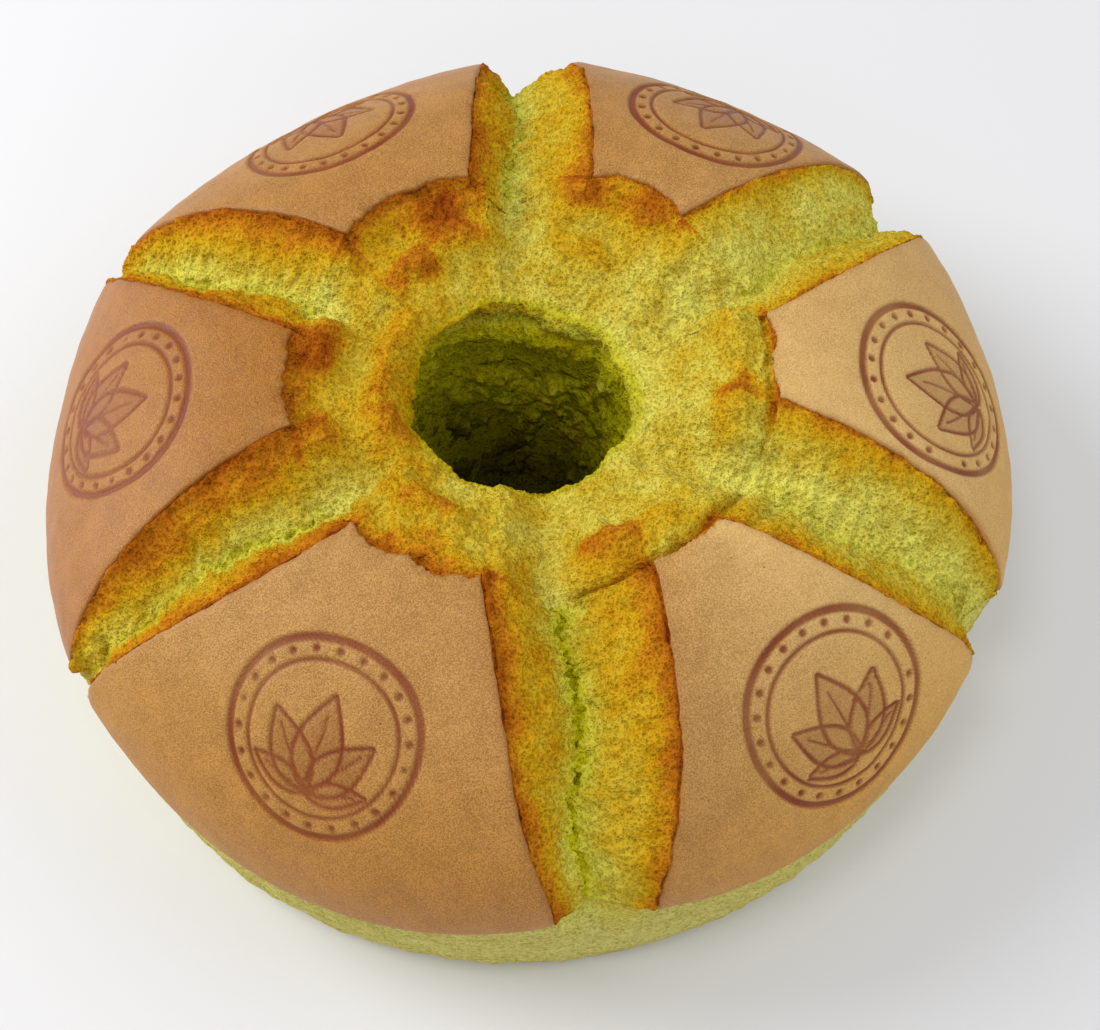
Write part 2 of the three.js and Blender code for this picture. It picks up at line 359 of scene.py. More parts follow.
# %% The lip and points on the hole
LIP_RISE_LEFT, LIP_IN_LEFT = 4.0, 1.6
HOLLOW_DEPTH = 4.4
LEDGE_ANGLE, LEDGE_SPREAD = math.radians(85), math.radians(45)
LEDGE_START, LEDGE_RAMP, LEDGE_FADE, LEDGE_DEPTH = 0.76, 0.06, 0.18, 3.4
TEAR_SHARE, TEAR_WAVE, TEAR_SPREAD, TEAR_DEPTH = 0.91, 0.05, 0.02, 2.6
BULGE_SHARE, BULGE_SPREAD, BULGE_DEPTH = 0.64, 0.1, 1.8


def ragged_lip(turn):
    return 0.6 * math.sin(3 * turn + 0.7) + 0.4 * math.sin(7 * turn + 2.1)


def on_the_left(angle):
    return ease(0.5 - 0.75 * math.cos(angle))


def lip(angle):
    """Radius and height of the lip. On the left a browned ridge hangs over the hole."""
    at_left = on_the_left(angle)
    return LIP_RADIUS - LIP_IN_LEFT * at_left, LIP_HEIGHT + LIP_RISE_LEFT * at_left


def hole_point(place, share):
    angle = place_angle(place, 0, inner_radius(place))
    turn = angle + LIP_WAVE_START
    narrowed = (LIP_RADIUS - HOLE_BASE_RADIUS) * (1 - share) ** HOLE_NARROWING
    at_ledge = hill(math.remainder(angle - LEDGE_ANGLE, 2 * math.pi) / LEDGE_SPREAD)
    step_in = ease((share - LEDGE_START) / LEDGE_RAMP) * min(1.0, (1 - share) / LEDGE_FADE)
    tear_line = TEAR_SHARE + TEAR_WAVE * noise.noise((4 * math.cos(angle), 4 * math.sin(angle), 0.0))
    tear = TEAR_DEPTH * hill((share - tear_line) / TEAR_SPREAD)
    bulge = BULGE_DEPTH * hill((share - BULGE_SHARE) / BULGE_SPREAD)
    ledge = at_ledge * (bulge - LEDGE_DEPTH * step_in + tear)
    hollow = HOLLOW_DEPTH * on_the_left(angle) * ease((1 - share) / 0.1) * ease(share / 0.4)
    lip_radius, lip_height = lip(angle)
    radius = lip_radius - narrowed + ledge + hollow + LIP_WAVE * ragged_lip(turn + 2 * share)
    return radius, lip_height * share, angle


# %% Points on the crown
PUFF_GAIN = 1.9
CROWN_POWER_LEFT = 0.9
CROWN_WARP = 0.06
VALLEY_START, VALLEY_RAMP = 0.8, 0.17
BANK_START, BANK_FADE = 0.75, 0.6
CREASE_SHARE, CREASE_SPREAD = 0.96, 0.035


def crown_valley(place, share):
    """Depth of a crack's head in the crown: a soft bowl near the hole, the torn crack itself further out."""
    if place.side == 0:
        return 0.0
    bowl = CRACKS[place.crack].depth[0] * ease(1 - place.across)
    cracked = crack_depth(place, 0, inner_radius(place))
    return mix(bowl, cracked, ease((share - VALLEY_START) / VALLEY_RAMP))


def crown_point(place, share):
    inner = inner_radius(place)
    angle = place_angle(place, 0, inner)
    angle += CROWN_WARP * arch(share) * noise.noise((5 * share, 3 * math.cos(angle), 3 * math.sin(angle)))
    turn = angle + LIP_WAVE_START
    panel = PANELS[place.sector]
    power = mix(CROWN_POWER, CROWN_POWER_LEFT, 0.5 - 0.5 * math.cos(angle))
    lip_radius, lip_height = lip(angle)
    radius = mix(lip_radius + LIP_WAVE * ragged_lip(turn + 2), inner, share)
    bank = panel.inner_drop * (1 - BANK_FADE * ease((share - BANK_START) / (1 - BANK_START)))
    edge = CREST_HEIGHT - max(bank * ease(place.across), crown_valley(place, share))
    height = mix(lip_height + LIP_WAVE * ragged_lip(turn), edge, share**power)
    puffs = PUFF_GAIN * crown_puffs(radius, angle)[0] * math.sqrt(arch(share))
    crease = panel.crease * ease(3 * place.across) * hill((share - CREASE_SHARE) / CREASE_SPREAD)
    return radius, height + puffs - crease, angle


# %% Points on the dome, the side and the base
CRUST_SINK = 0.8


def dome_point(place, share, depth):
    """Radius, height and share outwards of a point of the dome, set in by depth along the normal."""
    inner = inner_radius(place)
    out = math.sin(share * math.pi / 2) ** (2 / DOME_POWER)
    lift = math.cos(share * math.pi / 2) ** (2 / DOME_POWER) if share < 1 else 0.0
    run, rise = rim_radius(place) - inner, CREST_HEIGHT - rim_height(place)
    normal = Vector((out ** (DOME_POWER - 1) / run, lift ** (DOME_POWER - 1) / rise)).normalized()
    inwards = depth(out, inner + run * out)
    return inner + run * out - normal.x * inwards, rim_height(place) + rise * lift - normal.y * inwards, out


def sponge_dome_point(place, share):
    sink = CRUST_SINK * (1 if place.side == 0 else ease(place.across * 8 - 7))
    radius, height, out = dome_point(place, share, lambda out, r: max(sink, crack_depth(place, out, r)))
    return radius, height, place_angle(place, out, radius)


def side_point(place, share):
    rim = rim_radius(place)
    top = rim_height(place) - RIM_UNDERCUT
    angle = place_angle(place, 1, rim)
    shift = BASE_SHIFT * math.cos(angle - BASE_SHIFT_ANGLE)
    notch = crack_depth(place, 1, rim) * (1 - share) ** 2
    corner = BASE_ROUND * max(0.0, 4 * share - 3)
    return mix(rim - RIM_UNDERCUT, BASE_RADIUS + shift, share) - notch - corner, mix(top, 0, share), angle


def base_point(place, share):
    outer, _, angle = side_point(place, 1)
    foot, _, foot_angle = hole_point(place, 0)
    return mix(outer, foot, share), 0.0, mix(angle, foot_angle, share)


POINT_ON = {
    "hole": hole_point,
    "crown": crown_point,
    "dome": sponge_dome_point,
    "side": side_point,
    "base": base_point,
}

# %% [markdown]
# ## Rows of vertices
#
# A piece of crumb is described by its rows: the stretch a row lies on, its share of the way along it and how
# far it is sunk under the surface. Where two pieces overlap, the rows of one sink under the other, so no
# seam gapes.

# %% Rows of the four kinds of crumb piece


class Row(NamedTuple):
    stretch: str
    share: float
    sink: float


def rows(stretch, count, shares, sinks=(0.0, 0.0)):
    steps = [k / max(1, count - 1) for k in range(count)]
    return [Row(stretch, mix(*shares, k), mix(*sinks, k)) for k in steps]


RING_ROWS = (
    rows("hole", 3, (0.0, 0.04))
    + rows("hole", 6, (0.08, 0.9), (2.5, 3.0))
    + rows("crown", 5, (0.1, 0.9), (3.5, 3.5))
    + rows("dome", 12, (0.0, 0.93), (2.5, 2.0))
    + rows("dome", 3, (0.96, 1.0), (1.2, 0.4))
    + rows("side", 48, (0.0, 1.0))
    + rows("base", 3, (0.25, 0.75))
)
HOLE_ROWS = (
    rows("hole", 4, (0.01, 0.1), (0.6, 0.0))
    + rows("hole", 96, (0.11, 0.7))
    + rows("hole", 3, (0.71, 0.73), (0.6, 2.0))
    + rows("hole", 2, (0.7, 0.05), (3.6, 3.0))
)
CROWN_ROWS = (
    rows("hole", 4, (0.6, 0.67), (1.8, 0.0))
    + rows("hole", 26, (0.68, 0.985))
    + rows("crown", 84, (0.0, 0.975))
    + rows("dome", 3, (0.0, 0.05))
    + rows("dome", 1, (0.05, 0.05), (4.0, 4.0))
    + rows("crown", 3, (0.9, 0.2), (4.0, 4.0))
    + rows("hole", 1, (0.75, 0.75), (4.0, 4.0))
)
STRIP_ROWS = (
    rows("crown", 5, (0.88, 0.92), (1.5, 0.0))
    + rows("crown", 8, (0.93, 0.99))
    + rows("dome", 165, (0.0, 1.0))
    + rows("side", 14, (0.02, 0.3))
    + rows("side", 5, (0.33, 0.5), (0.3, 2.0))
)
print(len(RING_ROWS), "rows in the ring,", len(HOLE_ROWS), "in the hole,", len(CROWN_ROWS), "in the crown")

# %% A point of a row
INWARDS = {"hole": (1, 0), "crown": (0, -1), "dome": (-0.6, -0.8), "side": (-1, 0), "base": (0, 1)}


def on_surface(place, row, extra_sink):
    """A point in millimetres, with its radius and angle, sunk into the sponge as the row says."""
    radius, height, angle = POINT_ON[row.stretch](place, row.share)
    sink = row.sink + extra_sink
    outwards, upwards = INWARDS[row.stretch]
    radius += sink * outwards
    height += sink * upwards
    return Vector((radius * math.cos(angle), radius * math.sin(angle), height)), radius, angle


# %% [markdown]
# ## Relief and browning of the crumb
#
# Torn chiffon is soft swellings, small lumps and pits where bubbles broke open. Noise and cells of several
# sizes give that relief along the surface's normal. The noise has a fixed seed, so each run makes the same
# crumb. The browning is a number on each vertex: strongest beside the crust, weaker on the crown's puffs, and
# least in the fresh grooves.

# %% Crumb relief
CRUMB_SEED = 5
noise.seed_set(CRUMB_SEED)
SWELL, SWELL_SIZE = 0.8, 8.0
LUMPS = [(0.7, 3.1), (0.4, 1.4), (0.22, 0.6)]
PITS = [(0.8, 2.0), (0.6, 1.0)]
HOLE_CRUMB = 3.6
HOLE_PIT = 4.0
HOLE_LUMP, HOLE_LUMP_SIZE = 1.2, 4.5
LIP_CLEAR, LIP_FADE = 58, 10


def bumpy(point, layers):
    """A sum of noises, each layer given as its height and its size in millimetres."""
    return sum(height * noise.noise(point / size) for height, size in layers)


def bent(point):
    """A point pushed about a little, so that the crumbs drawn there aren't all round."""
    return point + 1.5 * noise.noise_vector(point / 3.0)


def below_lip(point):
    """0 near the hole's lip, 1 further down."""
    return ease((LIP_CLEAR - point.z) / LIP_FADE)


def broken(point, size):
    """How deep a point lies in a broken bubble, for bubbles about size millimetres apart."""
    return max(0.0, 0.5 - noise.voronoi(point / size)[0][0])


def crumbled(point, size):
    """0 in the gaps between rounded crumbs about size millimetres wide, 1 on top of them."""
    near, second = noise.voronoi(point / size)[0][:2]
    return ease((second - near) / 0.9)


def crumb_relief(point, stretch):
    """Height in millimetres to add at a point of torn crumb."""
    swell = SWELL * noise.noise(point / SWELL_SIZE)
    lumps = bumpy(point, LUMPS)
    pits = sum(depth * broken(point, size) for depth, size in PITS)
    if stretch == "hole":
        spot = bent(point)
        crumbs = 1.1 * crumbled(spot, HOLE_CRUMB) + HOLE_LUMP * noise.noise(point / HOLE_LUMP_SIZE)
        crumbs = crumbs - 1.0 - 1.5 * broken(spot, HOLE_PIT)
        return swell + crumbs * below_lip(point) + lumps * 1.4 - pits
    if stretch == "crown":
        return 1.6 * swell + 1.1 * lumps - pits
    if stretch == "side":
        return 0.6 * swell + 0.6 * lumps - 0.5 * pits
    return swell + lumps - pits


# %% Crumb browning
WALL_TOAST, WALL_CHAR = 0.3, 0.26
FRESH_WIDENING = 0.6
RIM_PALING = 0.3
CROWN_BROWN, CROWN_BROWN_LEFT, CROWN_BROWN_MOST = 0.26, 0.05, 0.9
FRESH_LIP, FRESH_LIP_SHARE, FRESH_LIP_ANGLE = 0.65, 0.3, math.radians(30)
BANK_TOAST, BANK_CHAR, BANK_CHAR_WIDTH = 0.32, 0.25, 0.8
UNDER_CRUST_BROWN = 0.85
SIDE_BROWN, SIDE_TOP_BROWN, SIDE_TOP_SHARE = 0.1, 0.55, 0.07
HOLE_BROWN, LIP_BROWN_LEFT = 0.06, 0.4


def crack_browning(place, out, edge=1.0):
    crack = CRACKS[place.crack]
    wall = crack_half(crack, out) * (1 - place.side * mix(*crack.groove, out))
    from_crust, from_groove = (1 - place.across) * wall, place.across * wall
    before = place.side < 0
    reach = crack.toast[0 if before else 1]
    fresh = crack.fresh[0 if before else 1]
    opened = 1 + FRESH_WIDENING * (2 * out - 1) ** 2
    browned = crack.brown * (1 - RIM_PALING * out) * ease(0.1 + from_groove / (fresh * opened))
    char_width = 0.4 + 0.1 * reach
    toasted = WALL_TOAST * hill(from_crust / reach) + WALL_CHAR * math.exp(-from_crust / char_width)
    return browned + edge * toasted


def crown_browning(place, share, radius, angle):
    plain = CROWN_BROWN - CROWN_BROWN_LEFT * math.cos(angle)
    towards_fresh = 0.5 + 0.5 * math.cos(angle - FRESH_LIP_ANGLE)
    fresh_lip = FRESH_LIP * towards_fresh * (1 - ease(share / FRESH_LIP_SHARE))
    browned = (plain + crown_puffs(radius, angle)[1]) * (1 - fresh_lip)
    from_crust = (1 - share) * (inner_radius(place) - LIP_RADIUS)
    reach = PANELS[place.sector].char
    charred = BANK_TOAST * hill(from_crust / reach) + BANK_CHAR * math.exp(-from_crust / BANK_CHAR_WIDTH)
    if place.side:
        crack_wall = crack_browning(place, 0, edge=ease((share - 0.9) / 0.1))
        browned = mix(browned, crack_wall, ease((share - 0.4) / 0.6))
        charred *= ease(place.across * 2 - 1)
    return min(CROWN_BROWN_MOST, browned + charred)


def crumb_browning(place, row, radius, angle):
    """Browning from 0, fresh crumb, to 1, burnt."""
    if row.stretch == "crown":
        return crown_browning(place, row.share, radius, angle)
    if row.stretch == "dome" and place.side:
        return crack_browning(place, math.sin(row.share * math.pi / 2) ** (2 / DOME_POWER))
    if row.stretch == "dome":
        return UNDER_CRUST_BROWN
    if row.stretch == "side":
        return SIDE_BROWN + SIDE_TOP_BROWN * (1 - ease(row.share / SIDE_TOP_SHARE))
    return HOLE_BROWN + LIP_BROWN_LEFT * ease((row.share - 0.9) / 0.1) * on_the_left(angle)


# %% Pale places and painted shade
# Painted shade: where the hole's wall starts to darken, lower on the right and back, and how strongly the lip,
# the gaps and the slits are darkened.
PAINTED_SHADE_HEIGHT, PAINTED_SHADE_LEFT, PAINTED_SHADE_FRONT, PAINTED_SHADE_FADE = 14, 11, 9, 34
HOLE_PAINTED_SHADE_LEAST, GAP_PAINTED_SHADE = 0.08, 0.3
LIP_PAINTED_SHADE, LIP_PAINTED_SHADE_SHARE = 0.12, 0.12
GROOVE_PAINTED_SHADE, GROOVE_PAINTED_SHADE_HALF = 0.06, 3.5
SLIT_PAINTED_SHADE, SLIT_PAINTED_SHADE_HALF = 0.08, 0.5


def crumb_paleness(place, row):
    """1 on the dry outer wall, 0 on fresh crumb."""
    if row.stretch != "side":
        return 0.0
    return 1.0 if place.side == 0 else mix(ease(row.share * 1.8), 1.0, place.across**3)


def crumb_painted_shade(place, row, point, angle):
    """Painted shade: 1 deep in the hole, most on its left; a little round its lip, between crumbs, in a
    crack's slit.
    """
    if row.stretch == "hole":
        # Painted shade deep in the hole, reaching higher on the left and at the front.
        shade_start_height = PAINTED_SHADE_HEIGHT - PAINTED_SHADE_LEFT * math.cos(angle) - PAINTED_SHADE_FRONT * math.sin(angle)
        deep = max(1 - ease((point.z - shade_start_height) / PAINTED_SHADE_FADE), HOLE_PAINTED_SHADE_LEAST)
        # Painted shade in the gaps between the crumbs of the hole's wall.
        gaps = GAP_PAINTED_SHADE * (1 - crumbled(bent(point), HOLE_CRUMB))
        return min(1.0, deep + gaps * below_lip(point))
    if row.stretch == "crown":
        # Painted shade on the crown just above the hole's lip.
        return LIP_PAINTED_SHADE * (1 - ease(row.share / LIP_PAINTED_SHADE_SHARE))
    if place.side and row.stretch == "dome":
        from_groove = place.across * CRACKS[place.crack].half[0]
        # Painted shade along a crack's groove and, narrower, in its slit.
        groove = GROOVE_PAINTED_SHADE * hill(from_groove / GROOVE_PAINTED_SHADE_HALF)
        slit = SLIT_PAINTED_SHADE * hill(from_groove / SLIT_PAINTED_SHADE_HALF)
        return CRACKS[place.crack].crevice * (groove + slit)
    return 0.0


# %% Placing the vertices of a piece of crumb
COVERED_RELIEF = 0.15
FOOT_HEIGHT = 4


def shape_crumb(bm, spot_of):
    """Puts each vertex of a bmesh on the cake; spot_of gives its place, row and extra sink."""
    toast_of = bm.verts.layers.float.new("toast")
    pale_of = bm.verts.layers.float.new("pale")
    painted_shade_of = bm.verts.layers.float.new("painted_shade")
    spots = [spot_of(vert) for vert in bm.verts]
    for vert, (place, row, extra_sink) in zip(bm.verts, spots):
        vert.co, radius, angle = on_surface(place, row, extra_sink)
        vert[toast_of] = crumb_browning(place, row, radius, angle)
        vert[pale_of] = crumb_paleness(place, row)
        # The painted shade that darkens the crumb's colour.
        vert[painted_shade_of] = crumb_painted_shade(place, row, vert.co, angle)
    bmesh.ops.recalc_face_normals(bm, faces=bm.faces)
    is_open = any(edge.is_boundary for edge in bm.edges)
    if is_open and sum(face.normal.z for face in bm.faces) < 0:
        bmesh.ops.reverse_faces(bm, faces=bm.faces)
    bm.normal_update()
    for vert, (place, row, extra_sink) in zip(bm.verts, spots):
        covered = row.stretch == "dome" and place.side == 0
        shown = 1 - ease(row.sink + extra_sink)
        rough = (COVERED_RELIEF if covered else 1.0) * shown * ease(vert.co.z / FOOT_HEIGHT)
        if rough > 0:
            vert.co += vert.normal * crumb_relief(vert.co, row.stretch) * rough


def finish_piece(bm, name):
    """Turns a bmesh in millimetres into a smooth-shaded object in metres at the origin."""
    bmesh.ops.scale(bm, vec=(MM, MM, MM), verts=bm.verts)
    mesh = bpy.data.meshes.new(name)
    bm.to_mesh(mesh)
    bm.free()
    mesh.shade_smooth()
    piece = bpy.data.objects.new(name, mesh)
    bpy.context.scene.collection.objects.link(piece)
    return piece


# %% [markdown]
# ## The sponge ring, the hole and the torn crown
#
# A ring is a job for the spin operator: a closed profile of vertices and edges turns once round the axis and
# its last copy merges with the first. The spun ring is still round. Each vertex remembers its row in an
# attribute, and its angle tells its step, so it can be pushed to its own place on the cracked form.

# %% Spinning a ring
PROFILE_MIDDLE, PROFILE_RADIUS = 60, 30


def spin_profile(row_list, steps):
    """A round bmesh ring with the given rows, each vertex knowing its row."""
    ring = bmesh.new()
    row_of = ring.verts.layers.int.new("row")
    corners = []
    for number in range(len(row_list)):
        turn = 2 * math.pi * number / len(row_list)
        radius = PROFILE_MIDDLE + PROFILE_RADIUS * math.cos(turn)
        corner = ring.verts.new((radius, 0, PROFILE_RADIUS * math.sin(turn)))
        corner[row_of] = number
        corners.append(corner)
    edges = [ring.edges.new((a, b)) for a, b in zip(corners, corners[1:] + corners[:1])]
    bmesh.ops.spin(
        ring,
        geom=corners + edges,
        axis=(0, 0, 1),
        cent=(0, 0, 0),
        angle=2 * math.pi,
        steps=steps,
        use_merge=True,
    )
    return ring


def crumb_ring(name, row_list, places, extra_sink):
    ring = spin_profile(row_list, len(places))
    row_of = ring.verts.layers.int["row"]

    def spot_of(vert):
        step = round(math.atan2(vert.co.y, vert.co.x) / (2 * math.pi) * len(places)) % len(places)
        row = row_list[vert[row_of]]
        return places[step], row, extra_sink(places[step], row)

    shape_crumb(ring, spot_of)
    return finish_piece(ring, name)


# %% The three rings
SIDE_ROOM, SIDE_ROOM_SHARE = 1.6, 0.42
HEAD_ROOM, HEAD_START, HEAD_RAMP = 1.8, 0.91, 0.05


def under_strips(place, row):
    """The sponge ring lies lower where a strip of torn crumb covers its side."""
    if row.stretch != "side" or place.side == 0:
        return 0.0
    return SIDE_ROOM * (1 - place.across**4) * (1 - ease(row.share / SIDE_ROOM_SHARE))


def under_strip_ends(place, row):
    """The crown dips under the strips of torn crumb at the head of each crack."""
    if place.side == 0 or row.stretch == "hole":
        return 0.0
    if row.stretch == "dome":
        return HEAD_ROOM
    return HEAD_ROOM * ease((row.share - HEAD_START) / HEAD_RAMP)


def as_it_lies(place, row):
    """Nothing covers the hole, so its wall isn't sunk."""
    return 0.0


crumb_pieces = [
    crumb_ring("sponge_ring", RING_ROWS, sector_places(18, 74), under_strips),
    crumb_ring("torn_hole", HOLE_ROWS, sector_places(18, 26), as_it_lies),
    crumb_ring("torn_crown", CROWN_ROWS, sector_places(36, 60), under_strip_ends),
]
print([(piece.name, len(piece.data.polygons)) for piece in crumb_pieces])

# %% [markdown]
# ## The torn strips in the cracks
#
# A strip is a grid laid across a crack, with its sides tucked under the crust. Its columns crowd towards the
# groove, where the sponge tore last. The extrude operator doubles the sheet, and its copy moves towards the
# core of the cake, so that the strip has a thickness.

# %% Laying a grid in a crack
STRIP_COLUMNS = 92
STRIP_THICKNESS = 3.0
CORE_RADIUS, CORE_HEIGHT = 62.0, 30.0
TUCK_FROM = 0.93
TUCK_SHARE = 0.035
TUCK_SINK = 1.6
COLUMN_CROWDING = 1.25


def strip_place(crack, across):
    """The place for a column, from -1 under one crust panel to 1 under the next."""
    side = 1 if across >= 0 else -1
    sector = crack if side > 0 else (crack - 1) % len(CRACKS)
    tuck = max(0.0, abs(across) - TUCK_FROM) / (1 - TUCK_FROM)
    if tuck > 0:
        return Place(sector, -1, 1.0, TUCK_SHARE * tuck if side > 0 else 1 - TUCK_SHARE * tuck, 0)
    return Place(sector, crack, (abs(across) / TUCK_FROM) ** COLUMN_CROWDING, (1 - side) / 2, side)


def crack_strip(crack):
    sheet = bmesh.new()
    bmesh.ops.create_grid(sheet, x_segments=STRIP_COLUMNS, y_segments=len(STRIP_ROWS) - 1, size=1.0)

    def spot_of(vert):
        row = STRIP_ROWS[round((vert.co.y + 1) / 2 * (len(STRIP_ROWS) - 1))]
        place = strip_place(crack, vert.co.x)
        tucked = place.side == 0 and row.stretch in ("side", "crown")
        return place, row, TUCK_SINK if tucked else 0.0

    shape_crumb(sheet, spot_of)
    copied = bmesh.ops.extrude_face_region(sheet, geom=sheet.faces[:])
    for vert in [item for item in copied["geom"] if isinstance(item, bmesh.types.BMVert)]:
        turn = math.atan2(vert.co.y, vert.co.x)
        core = Vector((CORE_RADIUS * math.cos(turn), CORE_RADIUS * math.sin(turn), CORE_HEIGHT))
        vert.co += (core - vert.co).normalized() * STRIP_THICKNESS
    bmesh.ops.recalc_face_normals(sheet, faces=sheet.faces)
    return finish_piece(sheet, "torn_crack_" + CRACKS[crack].name)


crumb_pieces += [crack_strip(crack) for crack in range(len(CRACKS))]
print("strips of", len(crumb_pieces[-1].data.polygons), "faces")

# %% [markdown]
# ## A stamp for the crust
#
# Each panel carries a mark burnt in with a hot iron. This one is a sprig of five leaves in a double ring with
# a row of beads between the rings. It is drawn as distances: how far a point is from a line tells whether the
# iron touched it, so the same drawing sinks the crust and browns it.

# %% Drawing the stamp
LINE_BLUR = 0.3
RING_OUTER, RING_OUTER_HALF = 18.5, 0.75
RING_INNER, RING_INNER_HALF = 14.6, 0.4
BEADS, BEAD_RING, BEAD_HALF = 22, 16.55, 0.75
LEAF_BASE = Vector((0.0, 10.5))
LEAVES = [(-74, 12.0, 0.2), (-38, 16.5, 0.24), (0, 19.5, 0.24), (38, 16.5, 0.24), (74, 12.0, 0.2)]
LEAF_HALF, LEAF_FILLING = 0.5, 0.35
VEIN_HALF, VEIN_START, VEIN_END = 0.3, 0.12, 0.8


def line_mark(distance, half):
    return 1 - ease((abs(distance) - half + LINE_BLUR) / (2 * LINE_BLUR))


def leaf_mark(point, lean, length, width):
    """Outline, vein and pale filling of one leaf that points up from the sprig's base."""
    turn = math.radians(lean)
    offset = point - LEAF_BASE
    reach = offset.x * math.sin(turn) - offset.y * math.cos(turn)
    aside = offset.x * math.cos(turn) + offset.y * math.sin(turn)
    if not 0 < reach < length:
        return 0.0
    edge = width * length * math.sin(math.pi * (reach / length) ** 0.8)
    outline = line_mark(abs(aside) - edge, LEAF_HALF)
    vein = line_mark(aside, VEIN_HALF) if VEIN_START < reach / length < VEIN_END else 0.0
    filling = LEAF_FILLING if abs(aside) < edge else 0.0
    return max(outline, vein, filling)


def stamp_mark(point):
    """How strongly the iron marked a point, in millimetres from the stamp's middle, y towards the rim."""
    distance = point.length
    if distance > RING_OUTER + RING_OUTER_HALF + LINE_BLUR:
        return 0.0
    outer = line_mark(distance - RING_OUTER, RING_OUTER_HALF)
    inner = line_mark(distance - RING_INNER, RING_INNER_HALF)
    turn = math.atan2(point.y, point.x) * BEADS / (2 * math.pi)
    bead_gap = 2 * math.pi * BEAD_RING / BEADS
    bead = math.hypot(distance - BEAD_RING, math.remainder(turn, 1.0) * bead_gap)
    leaves = max(leaf_mark(point, *leaf) for leaf in LEAVES)
    return max(outer, inner, line_mark(bead, BEAD_HALF), leaves)


print("stamp", round(2 * RING_OUTER), "mm across")

# %% [markdown]
# ## The crust panels
#
# A panel is a curved sheet a little over a millimetre thick. A grid is bent onto the dome between two cracks.
# Its border is frayed, most of all at the inner edge, where the crust tore from the crown. The solidify
# operator then gives it its thickness downwards, into the sponge.

# %% Bending a grid into a panel
PANEL_COLUMNS, PANEL_ROWS = 140, 175
EDGE_BAND = 2.5
DOME_LENGTH = 78.0
SIDE_FRAY, SIDE_FRAY_BAND = 0.35, 3
INNER_FRAY, INNER_FRAY_BAND = 1.2, 4
STAMP_TRIES = 200


def crust_point(place, share):
    radius, height, out = dome_point(place, share, lambda out, r: 0.0)
    return radius, height, place_angle(place, out, radius)


def panel_width(sector, share):
    first = crust_point(Place(sector, -1, 1.0, 0.0, 0), share)
    last = crust_point(Place(sector, -1, 1.0, 1.0, 0), share)
    return first[0] * (last[2] - first[2])


def stamp_spot(sector):
    """Radius, height and angle of the middle of a panel's stamp."""
    turn, wanted = PANELS[sector].stamp
    middle = Place(sector, -1, 1.0, 0.5, 0)
    spots = [crust_point(middle, k / STAMP_TRIES) for k in range(STAMP_TRIES)]
    radius, height, angle = min(spots, key=lambda spot: abs(spot[0] - wanted))
    return radius, height, angle + math.radians(turn)


def panel_grid(sector):
    """A flat grid whose corners carry along and down as x and y, bent onto the dome."""
    sheet = bmesh.new()
    mark_of = sheet.verts.layers.float.new("stamp")
    edge_of = sheet.verts.layers.float.new("edge")
    fray_of = sheet.verts.layers.float.new("fray")
    pale_of = sheet.verts.layers.float.new("pale")
    bmesh.ops.create_grid(sheet, x_segments=PANEL_COLUMNS, y_segments=PANEL_ROWS, size=0.5)
    stamp_radius, stamp_height, stamp_angle = stamp_spot(sector)
    widths = [panel_width(sector, k / PANEL_ROWS) for k in range(PANEL_ROWS + 1)]
    for vert in sheet.verts:
        along, down = vert.co.x + 0.5, vert.co.y + 0.5
        place = Place(sector, -1, 1.0, along, 0)
        radius, height, angle = crust_point(place, down)
        outwards = radius - stamp_radius
        down_slope = math.copysign(math.hypot(outwards, height - stamp_height), outwards)
        vert[mark_of] = stamp_mark(Vector(((angle - stamp_angle) * radius, down_slope)))
        from_side = min(along, 1 - along) * widths[round(down * PANEL_ROWS)]
        from_end = min(down, 1 - down) * DOME_LENGTH
        vert[edge_of] = max(0.0, 1 - min(from_side, from_end) / EDGE_BAND)
        vert[pale_of] = mix(*PANELS[sector].pale, along)
        side_fray = SIDE_FRAY * ease(1 - from_side / SIDE_FRAY_BAND)
        vert[fray_of] = max(side_fray, INNER_FRAY * ease(1 - down * DOME_LENGTH / INNER_FRAY_BAND))
        vert.co = (radius * math.cos(angle), radius * math.sin(angle), height)
    bmesh.ops.recalc_face_normals(sheet, faces=sheet.faces)
    return sheet


# %% Fraying and thickening the panels
CRUST_THICKNESS = 1.4
STAMP_DEPTH = 0.4
EDGE_CURL = 0.3
CRUST_TEARS = [(1.0, 5.0), (0.5, 1.8), (0.3, 0.8)]
CRUST_SWELLS = [(0.35, 14.0), (0.12, 4.0)]


def crust_panel(sector):
    sheet = panel_grid(sector)
    if sum(face.normal.z for face in sheet.faces) < 0:
        bmesh.ops.reverse_faces(sheet, faces=sheet.faces)
    sheet.normal_update()
    mark_of = sheet.verts.layers.float["stamp"]
    edge_of = sheet.verts.layers.float["edge"]
    fray_of = sheet.verts.layers.float["fray"]
    centre = sum((vert.co for vert in sheet.verts), Vector()) / len(sheet.verts)
    for vert in sheet.verts:
        outwards = (vert.co - centre).normalized()
        tear = bumpy(vert.co, CRUST_TEARS)
        curl = -EDGE_CURL * vert[edge_of] ** 3
        rise = bumpy(vert.co, CRUST_SWELLS) + curl - STAMP_DEPTH * vert[mark_of]
        vert.co += vert.normal * rise + outwards * tear * vert[fray_of]
    bmesh.ops.solidify(sheet, geom=sheet.faces[:], thickness=CRUST_THICKNESS)
    bmesh.ops.recalc_face_normals(sheet, faces=sheet.faces)
    return finish_piece(sheet, "crust_" + PANELS[sector].name)


crust_pieces = [crust_panel(sector) for sector in range(len(PANELS))]
print("crust panels of", len(crust_pieces[0].data.polygons), "faces")

